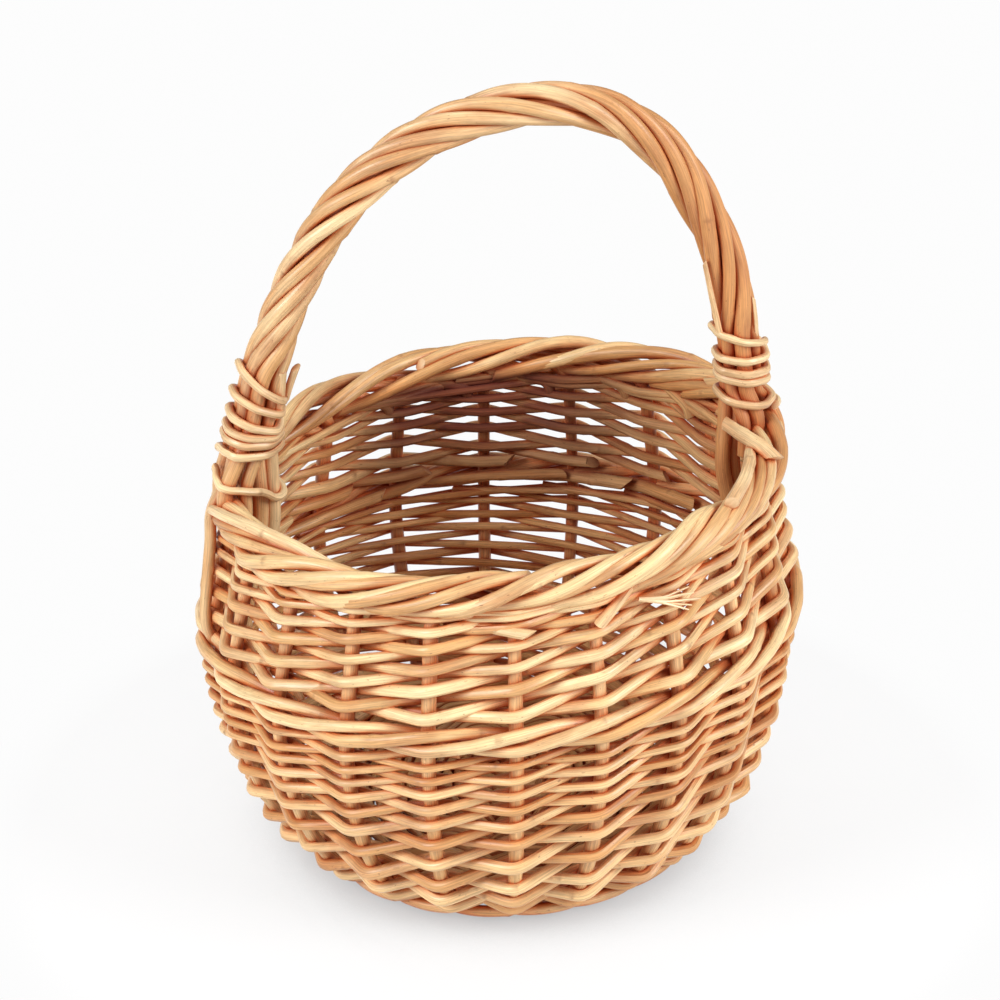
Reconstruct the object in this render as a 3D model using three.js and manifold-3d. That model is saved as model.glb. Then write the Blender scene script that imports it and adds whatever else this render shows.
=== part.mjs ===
// Round willow basket with a twisted bow handle.
// Millimetres, +Z up. The basket stands on z = 0 with its axis on Z, and the bow lies along X.
import * as THREE from 'three';
import { mergeVertices } from 'three/addons/utils/BufferGeometryUtils.js';
import Module from 'manifold-3d';

const wasm = await Module();
wasm.setup();

// Driving dimensions: the wall
const clearance = 0.3;
const stakeCount = 20;
const firstStakeAngle = THREE.MathUtils.degToRad(-93);
const stakeCrowding = 0.09;
const footRadius = 60;
const heelRadius = 72;
const heelHeight = 13.8;
const lowerSideRadius = 82.6;
const lowerSideHeight = 31;
const sideBulge = 2.2;
const bellyRadius = 92.4;
const bellyHeight = 78;
const shoulderRadius = 87;
const shoulderHeight = 109;
const rimRadius = 84.5;
const rimHeight = 127.5;
const rimLean = THREE.MathUtils.degToRad(5);
const leanHeight = 120;

// Driving dimensions: the rods
const stakeRadius = 2.2;
const borderRodsAcross = 5;
const borderRodReach = 4.35;
const borderBendRadius = 4.5;
const borderTipSpare = 0.65;
const waleRadius = 2.15;
const midWaleHeightAlongWall = 88;
const footWaleHeightAlongWall = 3.4;
const standingFlatDepth = 0.5;
const lowerRowCount = 18;
const lowerButtRadius = 1.95;
const upperRowCount = 10;
const upperButtRadius = 1.8;
const rowTightening = 0.34;

// Driving dimensions: the base
const piercedStickRadius = 3.3;
const throughStickRadius = 2.2;
const stickEndRadius = 58;
const slathHalfLength = 10;
const baseEdgeRise = 1.1;
const baseDome = 2;
const baseWeaverRadius = 1.3;
const baseWeaverStart = 23.4;
const baseWeaverEnd = 57;
const baseRowCount = 10;
const stakeRootRadius = 52;

// Driving dimensions: the handle
const bowRadius = 2.6;
const wrapCount = 6;
const wrapRadius = 2.3;
const wrapTurns = 2.5;
const twistEase = 0.25;
const bowApexHeight = 244.5;
const bowApexOffset = 16;
const leftLegReach = 77;
const rightLegReach = 79.5;
const leftFullness = 2.0;
const rightFullness = 2.4;
const bowEndAlongWall = 74;
const sideWrapEndDepth = 16;
const innerWrapEndDepth = 3;
const outerWrapEndDepth = 20;
const outerWrapFlare = 1.2;
const wrapClearance = 0.4;
const leftBindingRise = 11;
const rightBindingRise = 6;
const bindingRadius = 1.35;
const bindingLoops = 5;
const bindingPitch = 5.2;

const fullTurn = 2 * Math.PI;
const upward = new THREE.Vector3(0, 0, 1);

// Colours of peeled willow
const rodFinish = { roughness: 0.55, metalness: 0 };
const colours = {
  stake: 0xd9a662,
  wale: 0xdcae6c,
  lowerSiding: 0xd6a15e,
  upperSiding: 0xe0b274,
  base: 0xb98348,
  bow: 0xcf9a58,
  wrap: 0xd8a763,
  binding: 0xe6bd84,
};

const basket = new THREE.Group();

function addPiece(name, geometry, colour) {
  const material = new THREE.MeshStandardMaterial({ color: colour, ...rodFinish });
  const mesh = new THREE.Mesh(geometry, material);
  mesh.name = name;
  basket.add(mesh);
  return mesh;
}

function evenly(from, to, count) {
  return Array.from({ length: count + 1 }, (_, step) => from + ((to - from) * step) / count);
}

// A rod: rings of a regular polygon along a list of { point, radius }, closed by flat cut ends
function rodGeometry(stations, sides) {
  const positions = [];
  const indices = [];
  let across = null;
  stations.forEach(({ point, radius }, index) => {
    const before = stations[Math.max(index - 1, 0)].point;
    const after = stations[Math.min(index + 1, stations.length - 1)].point;
    const inward = point.clone().sub(before).normalize();
    const outward = after.clone().sub(point).normalize();
    const along = inward.add(outward).normalize();
    if (!across) across = Math.abs(along.z) < 0.9 ? upward.clone() : new THREE.Vector3(0, 1, 0);
    across.addScaledVector(along, -across.dot(along)).normalize();
    const beside = along.clone().cross(across);
    for (let side = 0; side < sides; side += 1) {
      const turn = (fullTurn * side) / sides;
      const corner = point.clone();
      corner.addScaledVector(across, radius * Math.cos(turn));
      corner.addScaledVector(beside, radius * Math.sin(turn));
      positions.push(corner.x, corner.y, corner.z);
    }
  });
  for (let ring = 0; ring < stations.length - 1; ring += 1) {
    for (let side = 0; side < sides; side += 1) {
      const a = ring * sides + side;
      const b = ring * sides + ((side + 1) % sides);
      indices.push(a, b, b + sides, a, b + sides, a + sides);
    }
  }
  const lastRing = (stations.length - 1) * sides;
  for (let side = 1; side < sides - 1; side += 1) {
    indices.push(0, side + 1, side);
    indices.push(lastRing, lastRing + side, lastRing + side + 1);
  }
  const geometry = new THREE.BufferGeometry();
  geometry.setAttribute('position', new THREE.Float32BufferAttribute(positions, 3));
  geometry.setIndex(indices);
  return geometry;
}

function toSolid(geometry) {
  const vertProperties = new Float32Array(geometry.attributes.position.array);
  const triVerts = new Uint32Array(geometry.index.array);
  return new wasm.Manifold(new wasm.Mesh({ numProp: 3, vertProperties, triVerts }));
}

function toGeometry(solid) {
  const { vertProperties, triVerts } = solid.getMesh();
  const geometry = new THREE.BufferGeometry();
  geometry.setAttribute('position', new THREE.Float32BufferAttribute(vertProperties, 3));
  geometry.setIndex([...triVerts]);
  return geometry;
}

function boxSolid(width, depth, height, centre) {
  const box = new THREE.BoxGeometry(width, depth, height).translate(centre.x, centre.y, centre.z);
  box.deleteAttribute('normal');
  box.deleteAttribute('uv');
  return toSolid(mergeVertices(box));
}

// The rim is higher at the +X end of the bow: heights grow along +X in proportion
function lean(point) {
  const rise = (Math.tan(rimLean) * point.x) / leanHeight;
  return new THREE.Vector3(point.x, point.y, point.z * (1 + rise));
}

function polar(radius, angle, height) {
  return new THREE.Vector3(radius * Math.cos(angle), radius * Math.sin(angle), height);
}

// The lowest wale rods are cut flat on z = 0, and hang slantwise below the roots of the stakes
const footWaleSwing = 0.83;
const footWaleDrop = footWaleSwing * (stakeRadius + waleRadius + clearance);
const stakeRootHeight = waleRadius - standingFlatDepth + footWaleDrop;
const borderUnderside = rimHeight - borderRodReach - stakeRadius;

// The wall line: the centre line of a stake, as radius and height
const wallLine = new THREE.SplineCurve([
  new THREE.Vector2(footRadius, stakeRootHeight),
  new THREE.Vector2(heelRadius, heelHeight),
  new THREE.Vector2(lowerSideRadius, lowerSideHeight),
  new THREE.Vector2((lowerSideRadius + bellyRadius) / 2 + sideBulge, (lowerSideHeight + bellyHeight) / 2),
  new THREE.Vector2(bellyRadius, bellyHeight),
  new THREE.Vector2(shoulderRadius, shoulderHeight),
  new THREE.Vector2(rimRadius, borderUnderside),
]);
wallLine.arcLengthDivisions = 400;
const wallLength = wallLine.getLength();

// A point of the wall at a height measured along it, moved out from the wall line
function wallPoint(angle, alongWall, out) {
  const share = THREE.MathUtils.clamp(alongWall / wallLength, 0, 1);
  const spot = wallLine.getPointAt(share);
  const rising = wallLine.getTangentAt(share);
  const beyond = alongWall - share * wallLength;
  const radius = spot.x + rising.x * beyond + rising.y * out;
  const height = spot.y + rising.y * beyond - rising.x * out;
  return lean(polar(radius, angle, height));
}

// Stakes stand closer together at the front, where stake 0 is
function stakeAngle(position) {
  const even = (fullTurn * position) / stakeCount;
  return firstStakeAngle + even - stakeCrowding * Math.sin(even);
}

// Base: ten radial stick ends, three sticks pierced and two pushed through them
const stickCount = stakeCount / 4;
const stickEndCount = 2 * stickCount;

function stickEndAngle(end) {
  return (stakeAngle(2 * end) + stakeAngle(2 * end + 1)) / 2;
}

function baseHeight(radius) {
  return stakeRootHeight + baseEdgeRise + baseDome * (1 - (radius / stickEndRadius) ** 2);
}

const slathAngle = stickEndAngle(1);
const piercedSpacing = 2 * piercedStickRadius + clearance;
const throughSpacing = 2 * throughStickRadius + clearance;

function slathPoint(along, aside, radiusForHeight) {
  const flat = new THREE.Vector2(along, aside).rotateAround(new THREE.Vector2(), slathAngle);
  return lean(new THREE.Vector3(flat.x, flat.y, baseHeight(radiusForHeight)));
}

function stickStations(firstEnd, secondEnd, nearFirst, nearSecond, radius) {
  const outer = [firstEnd, secondEnd].map((end) => {
    return lean(polar(stickEndRadius, stickEndAngle(end), baseHeight(stickEndRadius)));
  });
  return [outer[0], nearFirst, nearSecond, outer[1]].map((point) => ({ point, radius }));
}

const slitLength = 2 * throughSpacing + 2 * clearance;
const slitHeight = 2 * (throughStickRadius + clearance);
for (let row = -1; row <= 1; row += 1) {
  const aside = row * piercedSpacing;
  const near = slathPoint(slathHalfLength, aside, 0);
  const far = slathPoint(-slathHalfLength, aside, 0);
  const stations = stickStations(1 + row, 1 + stickCount - row, near, far, piercedStickRadius);
  const slit = boxSolid(slitLength, piercedSpacing, slitHeight, new THREE.Vector3());
  const turned = slit.rotate(0, 0, THREE.MathUtils.radToDeg(slathAngle));
  const middle = slathPoint(0, aside, 0);
  const stick = toSolid(rodGeometry(stations, 8)).subtract(turned.translate(middle.x, middle.y, middle.z));
  addPiece(`base_stick_pierced_${row + 2}`, toGeometry(stick), colours.base);
}
for (let row = 0; row < 2; row += 1) {
  const along = (row - 0.5) * throughSpacing;
  const near = slathPoint(along, slathHalfLength + piercedSpacing / 2, 0);
  const far = slathPoint(along, -slathHalfLength - piercedSpacing / 2, 0);
  const stations = stickStations(4 - row, 4 + stickCount - 1 + row, near, far, throughStickRadius);
  addPiece(`base_stick_through_${row + 1}`, rodGeometry(stations, 8), colours.base);
}

// A rod bends round another a little wider than it would touch, because its steps cut the corner
const bendAllowance = 1.06;

// Base weavers: two rods spiral outwards, over one stick and under the next, opposite each other
const baseWeaverReach = bendAllowance * (piercedStickRadius + baseWeaverRadius + clearance);
const stickHalfWidth = 0.8 * piercedStickRadius;
const rootGroupHalfWidth = piercedStickRadius + 2 * stakeRadius - 2 * clearance;
for (let weaver = 0; weaver < 2; weaver += 1) {
  const stations = [];
  const rowPitch = (baseWeaverEnd - baseWeaverStart) / baseRowCount;
  const crossings = (baseRowCount / 2) * stickEndCount;
  for (let crossing = 0; crossing <= crossings; crossing += 1) {
    const end = crossing + weaver * stickCount;
    const radius = baseWeaverStart + (2 * rowPitch * crossing) / stickEndCount;
    const above = (crossing + weaver * (stickCount + 1)) % 2 === 0 ? 1 : -1;
    const amongRoots = radius > stakeRootRadius - piercedStickRadius;
    const flatHalf = (amongRoots ? rootGroupHalfWidth : stickHalfWidth) / radius;
    for (const shift of [-flatHalf, flatHalf]) {
      const angle = stickEndAngle(end) + shift;
      const height = baseHeight(radius) + above * baseWeaverReach;
      stations.push({ point: lean(polar(radius, angle, height)), radius: baseWeaverRadius });
    }
  }
  addPiece(`base_weaver_${weaver + 1}`, rodGeometry(stations, 4), colours.base);
}

// Stakes: up the wall, then laid to the right into the border, round its outside, over and in
const phasePerStake = fullTurn / borderRodsAcross;
const borderRodEnd = borderRodsAcross - borderTipSpare;
const borderBendShare = 0.3;
const stakeWallSteps = 9;
const stakeStepEase = 1.35;

function borderPoint(position, phase) {
  const radius = rimRadius + borderRodReach * Math.cos(phase);
  return lean(polar(radius, stakeAngle(position), rimHeight + borderRodReach * Math.sin(phase)));
}

function stakeStations(index) {
  const stations = [];
  const add = (point) => stations.push({ point, radius: stakeRadius });
  const stickAngle = stickEndAngle(Math.floor(index / 2));
  const besideStick = (piercedStickRadius + stakeRadius + clearance) / stakeRootRadius;
  const side = index % 2 === 0 ? -1 : 1;
  add(lean(polar(stakeRootRadius, stickAngle + side * besideStick, stakeRootHeight)));
  const wallTop = wallLength + stakeRadius - borderBendRadius;
  for (let step = 0; step <= stakeWallSteps; step += 1) {
    const share = (step / stakeWallSteps) ** stakeStepEase;
    add(wallPoint(stakeAngle(index), wallTop * share, 0));
  }
  const spacing = rimRadius * (stakeAngle(index + 1) - stakeAngle(index));
  const bend = borderBendRadius / spacing;
  const cornerHeight = wallLength + stakeRadius - borderBendShare * borderBendRadius;
  add(wallPoint(stakeAngle(index + borderBendShare * bend), cornerHeight, 0));
  for (let travel = bend; travel < borderRodEnd; travel = Math.floor(travel * 2 + 1) / 2) {
    add(borderPoint(index + travel, travel * phasePerStake - Math.PI / 2));
  }
  add(borderPoint(index + borderRodEnd, borderRodEnd * phasePerStake - Math.PI / 2));
  return stations;
}

for (let index = 0; index < stakeCount; index += 1) {
  const name = `side_stake_${String(index + 1).padStart(2, '0')}`;
  addPiece(name, rodGeometry(stakeStations(index), 5), colours.stake);
}

// The lean brings rows closest together at the low end of the bow
const leanSquash = 1 - (Math.tan(rimLean) * bellyRadius) / leanHeight;

// Siding: two rods chase each other round a band, before one stake and behind the next.
// Rows tighten towards the top, where the rods thin out to their tips.
function addSiding(name, bottom, top, rowCount, buttRadius, colour) {
  const meanPitch = (top - bottom) / rowCount;
  const bottomPitch = meanPitch * (1 + rowTightening);
  const pitchLoss = (2 * meanPitch * rowTightening) / rowCount;
  for (let weaver = 0; weaver < 2; weaver += 1) {
    const stations = [];
    const crossings = ((rowCount - 1) / 2) * stakeCount;
    for (let crossing = 0; crossing <= crossings; crossing += 1) {
      const row = 0.5 + (2 * crossing) / stakeCount;
      const alongWall = bottom + bottomPitch * row - (pitchLoss * row * row) / 2;
      const pitch = bottomPitch - pitchLoss * row;
      const radius = Math.min(buttRadius, (pitch * leanSquash - clearance) / 2);
      const stake = crossing + (weaver * stakeCount) / 2;
      const outside = (stake + weaver) % 2 === 0 ? 1 : -1;
      const reach = outside * bendAllowance * (stakeRadius + radius + clearance);
      stations.push({ point: wallPoint(stakeAngle(stake), alongWall, reach), radius });
    }
    addPiece(`${name}_weaver_${weaver + 1}`, rodGeometry(stations, 4), colour);
  }
}

// Wale: three thick rods, each before two stakes and behind the third
const waleReach = bendAllowance * (stakeRadius + waleRadius + clearance);
const waleSpread = (waleRadius + clearance / 2) / leanSquash;
const waleSwell = 1.12;
const waleStops = [
  { out: -1, up: 0 },
  { out: 0, up: 1 },
  { out: 1, up: 1 },
  { out: waleSwell, up: 0 },
  { out: 1, up: -1 },
  { out: 0, up: -1 },
];

function waleStations(alongWall, rod, first, last) {
  const stations = [];
  for (let half = 2 * first; half <= 2 * last; half += 1) {
    const stop = waleStops[(((half - 2 * rod) % 6) + 6) % 6];
    const up = alongWall + stop.up * waleSpread;
    const point = wallPoint(stakeAngle(half / 2), up, stop.out * waleReach);
    stations.push({ point, radius: waleRadius });
  }
  return stations;
}

const waleRodNames = ['a', 'b', 'c'];
const waleLasts = [stakeCount - 1, stakeCount, stakeCount - 1];
const floorWidth = 3 * bellyRadius;
const floorCentre = new THREE.Vector3(0, 0, -floorWidth / 2);
waleRodNames.forEach((name, rod) => {
  const foot = rodGeometry(waleStations(footWaleHeightAlongWall, rod, rod, waleLasts[rod]), 5);
  const standing = toSolid(foot).subtract(boxSolid(floorWidth, floorWidth, floorWidth, floorCentre));
  addPiece(`foot_wale_rod_${name}`, toGeometry(standing), colours.wale);
  const middle = rodGeometry(waleStations(midWaleHeightAlongWall, rod, rod, waleLasts[rod]), 5);
  addPiece(`middle_wale_rod_${name}`, middle, colours.wale);
});

const waleHalfHeight = waleSpread + waleRadius + clearance;
const lowerBottom = footWaleHeightAlongWall + waleHalfHeight;
const lowerTop = midWaleHeightAlongWall - waleHalfHeight;
const upperBottom = midWaleHeightAlongWall + waleHalfHeight;
addSiding('lower_siding', lowerBottom, lowerTop, lowerRowCount, lowerButtRadius, colours.lowerSiding);
const upperTop = wallLength - clearance;
addSiding('upper_siding', upperBottom, upperTop, upperRowCount, upperButtRadius, colours.upperSiding);

// Bow: up inside the wall, over the rim, round the arch and down again, all in the XZ plane
const bowInset = waleReach + waleRadius + clearance + bowRadius;
const rimTop = rimHeight + borderRodReach + stakeRadius;

function legPoint(side) {
  const reach = side < 0 ? leftLegReach : rightLegReach;
  const rise = side < 0 ? leftBindingRise : rightBindingRise;
  return lean(new THREE.Vector3(side * reach, 0, rimTop + rise));
}

const apex = new THREE.Vector3(bowApexOffset, 0, bowApexHeight);

// A quarter of a superellipse from a leg (turn 0) to the apex (turn a quarter)
function archPoint(side, turn) {
  const leg = legPoint(side);
  const power = 2 / (side < 0 ? leftFullness : rightFullness);
  const x = apex.x + (leg.x - apex.x) * Math.cos(turn) ** power;
  const z = leg.z + (apex.z - leg.z) * Math.sin(turn) ** power;
  return new THREE.Vector3(x, 0, z);
}

function footPoints(side) {
  const angle = side < 0 ? Math.PI : 0;
  const points = evenly(bowEndAlongWall, wallLength, 4).map((alongWall) => {
    return wallPoint(angle, alongWall, -bowInset);
  });
  points.push(wallPoint(angle, wallLength + borderRodReach + stakeRadius, -bowInset));
  return points;
}

const archSteps = 7;
const leftArch = [];
const rightArch = [];
for (let step = 0; step < archSteps; step += 1) {
  leftArch.push(archPoint(-1, ((Math.PI / 2) * step) / archSteps));
  rightArch.unshift(archPoint(1, ((Math.PI / 2) * step) / archSteps));
}
const leftFoot = footPoints(-1);
const rightFoot = footPoints(1).reverse();
const spineKnots = [...leftFoot, ...leftArch, apex, ...rightArch, ...rightFoot];
const spine = new THREE.CatmullRomCurve3(spineKnots, false, 'centripetal');
spine.arcLengthDivisions = 1200;
const spineLength = spine.getLength();

// Distance along the spine of the knot with this number
function knotDistance(knot) {
  const lengths = spine.getLengths();
  return lengths[Math.round((knot / (spineKnots.length - 1)) * spine.arcLengthDivisions)];
}

const leftLegDistance = knotDistance(leftFoot.length);
const rightLegDistance = knotDistance(spineKnots.length - 1 - rightFoot.length);

// A point beside the spine: phase 0 is away from the basket's middle, a quarter turn is the front
function besideSpine(distance, reach, phase) {
  const share = THREE.MathUtils.clamp(distance / spineLength, 0, 1);
  const along = spine.getTangentAt(share);
  const outward = new THREE.Vector3(-along.z, 0, along.x);
  const point = spine.getPointAt(share);
  point.addScaledVector(outward, reach * Math.cos(phase));
  point.y -= reach * Math.sin(phase);
  return point;
}

const bowSteps = 34;
const bowStations = evenly(0, spineLength, bowSteps).map((distance) => {
  return { point: besideSpine(distance, 0, 0), radius: bowRadius };
});
addPiece('handle_bow', rodGeometry(bowStations, 6), colours.bow);

// Wraps: straight under the bindings, twisted between them, faster on the left
const wrapReach = bowRadius + wrapRadius + wrapClearance;
const wrapSteps = 30;
const bindingHeight = bindingLoops * bindingPitch;
const twistStart = leftLegDistance + bindingHeight;
const twistEnd = rightLegDistance - bindingHeight;

function wrapPhase(wrap, distance) {
  const share = THREE.MathUtils.clamp((distance - twistStart) / (twistEnd - twistStart), 0, 1);
  const eased = share * (1 + twistEase) - twistEase * share * share;
  return (fullTurn * (wrap + 0.5)) / wrapCount + fullTurn * wrapTurns * eased;
}

// The foot of one wrap, from its end up to the leg: outer wraps go down outside the border
function wrapFoot(side, phase) {
  const angle = side < 0 ? Math.PI : 0;
  const aside = -wrapReach * Math.sin(phase);
  const offBorder = borderRodReach + stakeRadius + wrapRadius + clearance;
  if (Math.cos(phase) > 0.5) {
    const outside = offBorder + clearance;
    const shoulder = bendAllowance * outside * Math.SQRT1_2;
    const along = (out, rise) => {
      const point = lean(new THREE.Vector3(side * (rimRadius + out), 0, rimHeight + rise));
      point.y = aside;
      return point;
    };
    return [
      along(outside + outerWrapFlare, -outerWrapEndDepth),
      along(outside, -outerWrapEndDepth / 3),
      along(outside, 0),
      along(shoulder, shoulder),
    ];
  }
  const depth = Math.cos(phase) < -0.5 ? innerWrapEndDepth : sideWrapEndDepth;
  const inset = bowInset - wrapReach * Math.cos(phase);
  return [wallLength - depth, wallLength, wallLength + borderRodReach + stakeRadius].map((alongWall) => {
    const point = wallPoint(angle, alongWall, -inset);
    point.y = aside;
    return point;
  });
}

for (let wrap = 0; wrap < wrapCount; wrap += 1) {
  const middle = evenly(leftLegDistance, rightLegDistance, wrapSteps).map((distance) => {
    return besideSpine(distance, wrapReach, wrapPhase(wrap, distance));
  });
  const points = [
    ...wrapFoot(-1, wrapPhase(wrap, 0)),
    ...middle,
    ...wrapFoot(1, wrapPhase(wrap, spineLength)).reverse(),
  ];
  const stations = points.map((point) => ({ point, radius: wrapRadius }));
  addPiece(`handle_wrap_${wrap + 1}`, rodGeometry(stations, 5), colours.wrap);
}

// Bindings: thin rod wound round the bundle above each foot, with straight ends
const bindingReach = wrapReach + wrapRadius + clearance + bindingRadius;
const loopSteps = 24;

function bindingPoints(side) {
  const legDistance = side < 0 ? leftLegDistance : rightLegDistance;
  const points = [];
  for (let step = 0; step <= bindingLoops * loopSteps; step += 1) {
    const loops = step / loopSteps;
    const distance = legDistance - side * (bindingPitch / 2 + bindingPitch * loops);
    points.push(besideSpine(distance, bindingReach, fullTurn * loops));
  }
  const start = points[0].clone().sub(points[1]).setLength(2 * bindingRadius).add(points[0]);
  const last = points[points.length - 1];
  const end = last.clone().sub(points[points.length - 2]).setLength(2 * bindingRadius).add(last);
  return [start, ...points, end];
}

function leastGap(points, radius) {
  let least = Infinity;
  for (let first = 0; first < points.length; first += 1) {
    for (let second = first + loopSteps / 2; second < points.length; second += 1) {
      least = Math.min(least, points[first].distanceTo(points[second]) - 2 * radius);
    }
  }
  return least;
}

for (const [side, name] of [[-1, 'left'], [1, 'right']]) {
  const points = bindingPoints(side);
  console.log(`${name} binding, least gap to itself: ${leastGap(points, bindingRadius).toFixed(2)} mm`);
  const stations = points.map((point) => ({ point, radius: bindingRadius }));
  addPiece(`handle_binding_${name}`, rodGeometry(stations, 6), colours.binding);
}

export default basket;
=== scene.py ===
# %% [markdown]
# # A round willow basket with a twisted bow handle
#
# The basket is woven from about a hundred peeled willow rods. Nothing in it is cast, sawn or
# glued: every shape comes from how one long, tapering rod passes before and behind the others.
# The model is made in nearly the order of the real work: base, stakes with their run in the
# border, wales, siding, handle and bindings. Each rod is a real form with its butt, its tip, its
# buds and its cut ends.
#
# The fixed frame that is loaded first is the measured model of the same basket. It gives the
# size and the place of each piece. Lengths here are in millimetres until a mesh is made.

# %% Load the fixed frame
import math

import bpy
import numpy as np
from mathutils import Matrix, Vector


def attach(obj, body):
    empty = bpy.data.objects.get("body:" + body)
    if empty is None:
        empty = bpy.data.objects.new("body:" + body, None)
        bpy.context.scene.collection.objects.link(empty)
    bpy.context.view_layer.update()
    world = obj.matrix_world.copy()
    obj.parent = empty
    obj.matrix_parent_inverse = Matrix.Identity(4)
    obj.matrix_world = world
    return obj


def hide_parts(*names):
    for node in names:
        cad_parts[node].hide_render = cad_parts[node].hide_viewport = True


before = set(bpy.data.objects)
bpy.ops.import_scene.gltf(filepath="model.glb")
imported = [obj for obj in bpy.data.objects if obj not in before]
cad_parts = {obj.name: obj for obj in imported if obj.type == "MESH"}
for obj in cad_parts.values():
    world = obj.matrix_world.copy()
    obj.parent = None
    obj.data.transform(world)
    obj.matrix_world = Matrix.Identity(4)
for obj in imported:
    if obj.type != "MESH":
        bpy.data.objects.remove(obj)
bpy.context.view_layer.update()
mm = 0.001
print("nodes in the frame:", len(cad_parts))

# %% [markdown]
# ## The camera
#
# The camera comes first, because it says which sides need the most care. A long lens from one
# metre away keeps the rim a calm ellipse. It looks down at 29 degrees and a little from the left,
# and it is tipped up by a few degrees, so the tall handle stays inside the square picture.

# %% Place the camera
picture_width, focal_length = 1000, 3062.0
aim_offset = (-2.5, -153.7)
camera_distance = 1.0
camera_azimuth = math.radians(-6)
camera_elevation = math.radians(29)
camera_roll = math.radians(0.5)
aim = Vector((0, 0, 0.060))

away = Vector(
    (
        math.sin(camera_azimuth) * math.cos(camera_elevation),
        -math.cos(camera_azimuth) * math.cos(camera_elevation),
        math.sin(camera_elevation),
    )
)
level_right = Vector((0, 0, 1)).cross(away).normalized()
level_up = away.cross(level_right)
offset_right, offset_up = (pixels / focal_length for pixels in aim_offset)
forward = (-away - level_right * offset_right - level_up * offset_up).normalized()
right = forward.cross(level_up).normalized()
up = right.cross(forward)
facing = Matrix((right, up, -forward)).transposed() @ Matrix.Rotation(-camera_roll, 3, "Z")

bpy.ops.object.camera_add(location=aim + away * camera_distance, rotation=facing.to_euler())
camera = bpy.context.object
camera.name = "basket_camera"
camera.data.lens = focal_length / picture_width * camera.data.sensor_width
camera.data.clip_start = 0.05
camera.data.clip_end = 20
bpy.context.scene.camera = camera
print("lens, mm:", round(camera.data.lens, 1))

# %% [markdown]
# ## The wall line
#
# A basket wall has no surface of its own. What everything follows is the line of the stakes: out
# from the base, round the heel, up to the belly and in again to the rim. It is drawn once as a
# smooth curve of radius and height. Any point of the weave is then named by three numbers: which
# stake it is at, how far up the wall it lies, and how far it stands outside the stakes.
#
# The rim is tilted a few degrees, up towards one end of the handle, as hand-made rims often are.

# %% Draw the wall line
stake_count = 20
stake_radius, wale_radius, clearance = 2.2, 2.15, 0.3
rim_radius, rim_height = 84.5, 127.5
belly_radius = 92.4
border_reach = 4.35
worn_flat, wale_rise = 0.5, 0.83
stake_root_height = wale_radius - worn_flat + wale_rise * (stake_radius + wale_radius + clearance)
lean_angle, lean_height = math.radians(5), 120
lean_slope = math.tan(lean_angle) / lean_height
wall_knots = [
    (60, stake_root_height),
    (72, 13.8),
    (82.6, 31),
    (89.7, 54.5),
    (belly_radius, 78),
    (87, 109),
    (rim_radius, rim_height - border_reach - stake_radius),
]


def catmull_rom(knots, per_span):
    """A smooth line through the knots."""
    knots = np.asarray(knots, float)
    padded = np.vstack([knots[:1], knots, knots[-1:]])
    t = np.linspace(0, 1, per_span, endpoint=False)[:, None]
    spans = []
    for k in range(len(knots) - 1):
        before, here, there, after = padded[k : k + 4]
        leaving, arriving = (there - before) / 2, (after - here) / 2
        cubic = 2 * here - 2 * there + leaving + arriving
        square = 3 * there - 3 * here - 2 * leaving - arriving
        spans.append(cubic * t**3 + square * t**2 + leaving * t + here)
    return np.vstack([*spans, knots[-1:]])


def distances_along(line):
    steps = np.linalg.norm(np.diff(line, axis=0), axis=1)
    return np.concatenate([[0], np.cumsum(steps)])


def ramp(values, start, run):
    """0 up to the start, and from there evenly up to 1 over the run."""
    return np.clip((values - start) / run, 0, 1)


wall_line = catmull_rom(wall_knots, 200)
wall_distances = distances_along(wall_line)
wall_length = wall_distances[-1]
wall_rises = np.gradient(wall_line, wall_distances, axis=0)
print("length of the wall line, mm:", round(wall_length, 1))

# %% Name points of the weave by stake, height along the wall and distance out
first_stake_angle = math.radians(-93)
stake_crowding = 0.09


def stake_angle(position):
    """The stakes stand a little closer together at the front, where stake 0 is."""
    even = 2 * np.pi * np.asarray(position, float) / stake_count
    return first_stake_angle + even - stake_crowding * np.sin(even)


def lean(points):
    points = np.array(points, float)
    points[..., 2] *= 1 + lean_slope * points[..., 0]
    return points


def polar(radius, angle, height):
    radius, angle, height = np.broadcast_arrays(radius, angle, height)
    return np.stack([radius * np.cos(angle), radius * np.sin(angle), height], axis=-1)


def wall_point(angle, along, out):
    along = np.asarray(along, float)
    held = np.clip(along, 0, wall_length)
    spare = along - held
    radius, height = (np.interp(held, wall_distances, wall_line[:, k]) for k in (0, 1))
    outward, upward = (np.interp(held, wall_distances, wall_rises[:, k]) for k in (0, 1))
    radius = radius + outward * spare + upward * out
    return lean(polar(radius, angle, height + upward * spare - outward * out))


print("belly, front stake, mm:", wall_point(stake_angle(0), 88, 0).round(1))

# %% [markdown]
# ## How a rod is made
#
# A tube along a curve would be the quick way to a rod, but willow is never an even tube. It tapers
# from butt to tip, swells at each bud, is a little oval, and ends in the slanting face that the
# knife left. No primitive or modifier gives all of that and also keeps the grain running along
# the rod round every bend. So a rod is lofted ring by ring from its centre line. Each vertex also
# remembers where it lies in the straight rod, as `grain`, so the finish can follow the fibres, and
# `rod_marks` holds the rod's own tone, its bud scars and its cut faces.
#
# Rods are elastic. A rod laid before one stake and behind the next doesn't wave evenly: it runs
# straight between them and turns within a few millimetres at each. `ease` gives that shape, by
# smoothing a line of straight stretches over a set length.

# %% Ease a line of corners into an elastic rod
ring_step, fine_step = 1.5, 0.5


def bell(places, width):
    return np.exp(-0.5 * (places / width) ** 2)


def resample(line, step):
    along = distances_along(line)
    count = max(int(round(along[-1] / step)), 3)
    even = np.linspace(0, along[-1], count + 1)
    return np.stack([np.interp(even, along, line[:, k]) for k in range(line.shape[1])], axis=1)


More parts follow.
